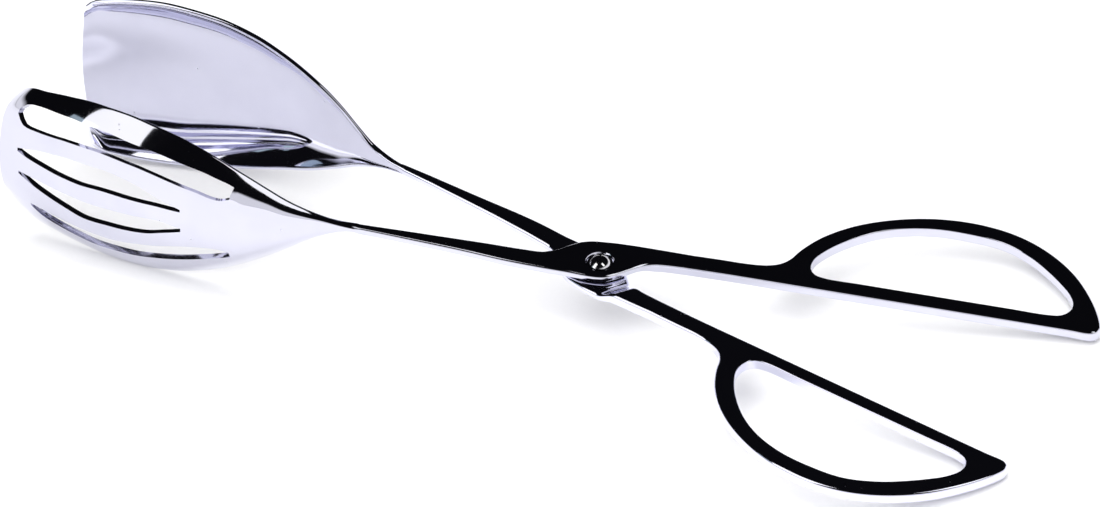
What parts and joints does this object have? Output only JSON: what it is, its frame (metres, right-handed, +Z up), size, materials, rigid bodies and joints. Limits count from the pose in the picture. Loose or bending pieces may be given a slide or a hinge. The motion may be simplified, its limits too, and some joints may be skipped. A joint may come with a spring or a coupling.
{
  "type": "serving tongs",
  "caption": "Scissor-type serving tongs: a slotted scoop and a solid spatula blade on crossed arms with D-shaped finger loops, turning on one domed pivot screw.",
  "frame": {"origin": "centre of the bounding box, on the surface the tongs lie on", "axes": "+X from the blades to the finger loops, +Y towards the spatula blade, +Z up"},
  "size_m": [0.2896, 0.1096, 0.0559],
  "materials": {
    "slotted_half": "mirror-polished stainless steel",
    "spatula_half": "mirror-polished stainless steel",
    "pivot_screw": "polished stainless steel, domed and slotted head",
    "pivot_nut": "turned stainless steel"
  },
  "bodies": {
    "spatula_side": {"spatula_half": "spatula_half", "pivot_screw": "pivot_screw", "pivot_nut": "pivot_nut"},
    "slotted_side": {"slotted_half": "slotted_half"}
  },
  "joints": [
    {"name": "pivot", "type": "hinge", "parent": "spatula_side", "child": "slotted_side", "pos_m": [0.01876, 0, 0.01687], "axis": [0.1003, 0, 0.995], "range_deg": [-11, 25]}
  ]
}
